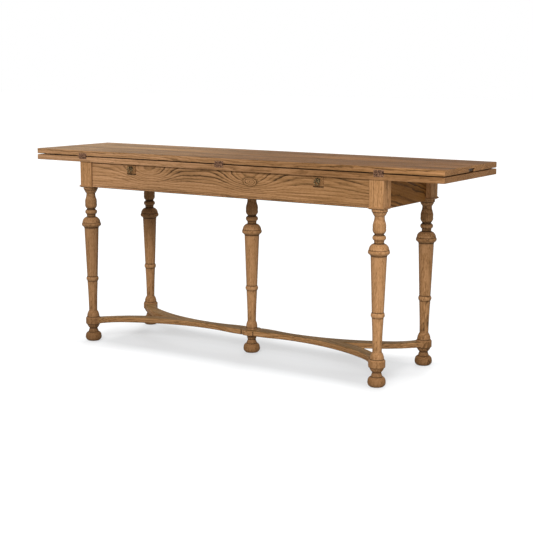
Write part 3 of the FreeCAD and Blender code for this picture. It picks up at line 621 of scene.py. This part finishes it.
# Light of the surroundings: rising from the horizon, dimmer at the back, and stronger overhead. Each has the part
# of the direction over which it changes, and its levels there.
SKY_RISE = (0.10, 0.30, 0.08, 0.45)
SKY_BACK = (-0.2, 0.5, 1.0, 0.45)
SKY_OVERHEAD = (0.65, 0.90, 0.0, 0.45)


def set_surroundings():
    """White surroundings that light the table softly from above and in front, dim near the horizon."""
    world = bpy.data.worlds.new("studio")
    scene.world = world
    world.use_nodes = True
    finish = Finish(world.node_tree)
    background = world.node_tree.nodes["Background"]
    background.inputs["Color"].default_value = (1, 1, 1, 1)
    direction = finish.parts(finish.add("TexCoord").outputs["Generated"])
    dome = finish.math("MULTIPLY", finish.span(direction["Z"], *SKY_RISE), finish.span(direction["Y"], *SKY_BACK))
    dome = finish.math("ADD", dome, finish.span(direction["Z"], *SKY_OVERHEAD))
    seen = seen_directly(finish)
    level = finish.math("ADD", seen, finish.math("MULTIPLY", dome, finish.math("SUBTRACT", 1.0, seen)))
    finish.feed(background.inputs["Strength"], level)


FLOOR_REACH = 30
FLOOR_COLOUR = (0.34, 0.35, 0.36, 1)
# How bright the floor looks: dimmer under the table, a painted shadow, and white away from it, and where it goes
# from one to the other
FLOOR_PAINTED_SHADOW_LEVELS = (0.495, 0.80)
FLOOR_PAINTED_SHADOW_EDGES = (("X", 0.58, 0.76), ("Y", 0.16, 0.30))


def lay_floor():
    """Pale floor that keeps the table's shadow, with a painted shadow under the table, and looks white around it.
    """
    shape = bmesh.new()
    bmesh.ops.create_grid(shape, x_segments=1, y_segments=1, size=FLOOR_REACH)
    mesh = bpy.data.meshes.new("floor")
    shape.to_mesh(mesh)
    shape.free()
    floor = bpy.data.objects.new("floor", mesh)
    scene.collection.objects.link(floor)
    material, finish, shader = new_material("studio_floor")
    shader.inputs["Base Color"].default_value = FLOOR_COLOUR
    shader.inputs["Roughness"].default_value = 1.0
    shader.inputs["Specular IOR Level"].default_value = 0.0
    shader.inputs["Emission Color"].default_value = (1, 1, 1, 1)
    spots = finish.parts(finish.object_place())
    # The floor's emission is lower under the table, a painted shadow, and white away from it
    clear = [finish.span(finish.math("ABSOLUTE", spots[axis]), near, far) for axis, near, far in FLOOR_PAINTED_SHADOW_EDGES]
    glow_with_painted_shadow = finish.span(finish.math("MAXIMUM", *clear), 0.0, 1.0, *FLOOR_PAINTED_SHADOW_LEVELS)
    finish.feed(shader.inputs["Emission Strength"], finish.math("MULTIPLY", seen_directly(finish), glow_with_painted_shadow))
    mesh.materials.append(material)


# Lamps: how wide the distant ones are, in degrees, how strong they are and which way they shine, and the side
# lamp's power in watts, size and place
SUN_SPREAD = 20
KEY_LEVEL = 0.64
KEY_DIRECTION = (-0.30, 0.812, -0.50)
BACK_LEVEL = 0.32
BACK_DIRECTION = (0.30, -0.80, -0.52)
SIDE_POWER = 11
SIDE_SIZE = 0.25
SIDE_PLACE = (1.4, -0.75, 0.7)


def add_sun(name, level, direction, glossy=True):
    """Soft distant lamp that shines along a direction. It may leave no shine."""
    data = bpy.data.lights.new(name, "SUN")
    data.energy = level * math.pi
    data.angle = math.radians(SUN_SPREAD)
    lamp = bpy.data.objects.new(name, data)
    lamp.rotation_euler = Vector(direction).to_track_quat("-Z", "Y").to_euler()
    lamp.visible_glossy = glossy
    scene.collection.objects.link(lamp)


def add_lamps():
    """A key from the front, a weaker one from the back, and a small lamp beside the right end."""
    add_sun("key", KEY_LEVEL, KEY_DIRECTION)
    add_sun("back", BACK_LEVEL, BACK_DIRECTION, glossy=False)
    data = bpy.data.lights.new("side", "POINT")
    data.energy = SIDE_POWER
    data.shadow_soft_size = SIDE_SIZE
    lamp = bpy.data.objects.new("side", data)
    lamp.location = SIDE_PLACE
    lamp.visible_camera = False
    scene.collection.objects.link(lamp)


set_camera()
finish_boards()
finish_stand()
add_screws(finish_fittings())
set_surroundings()
lay_floor()
add_lamps()
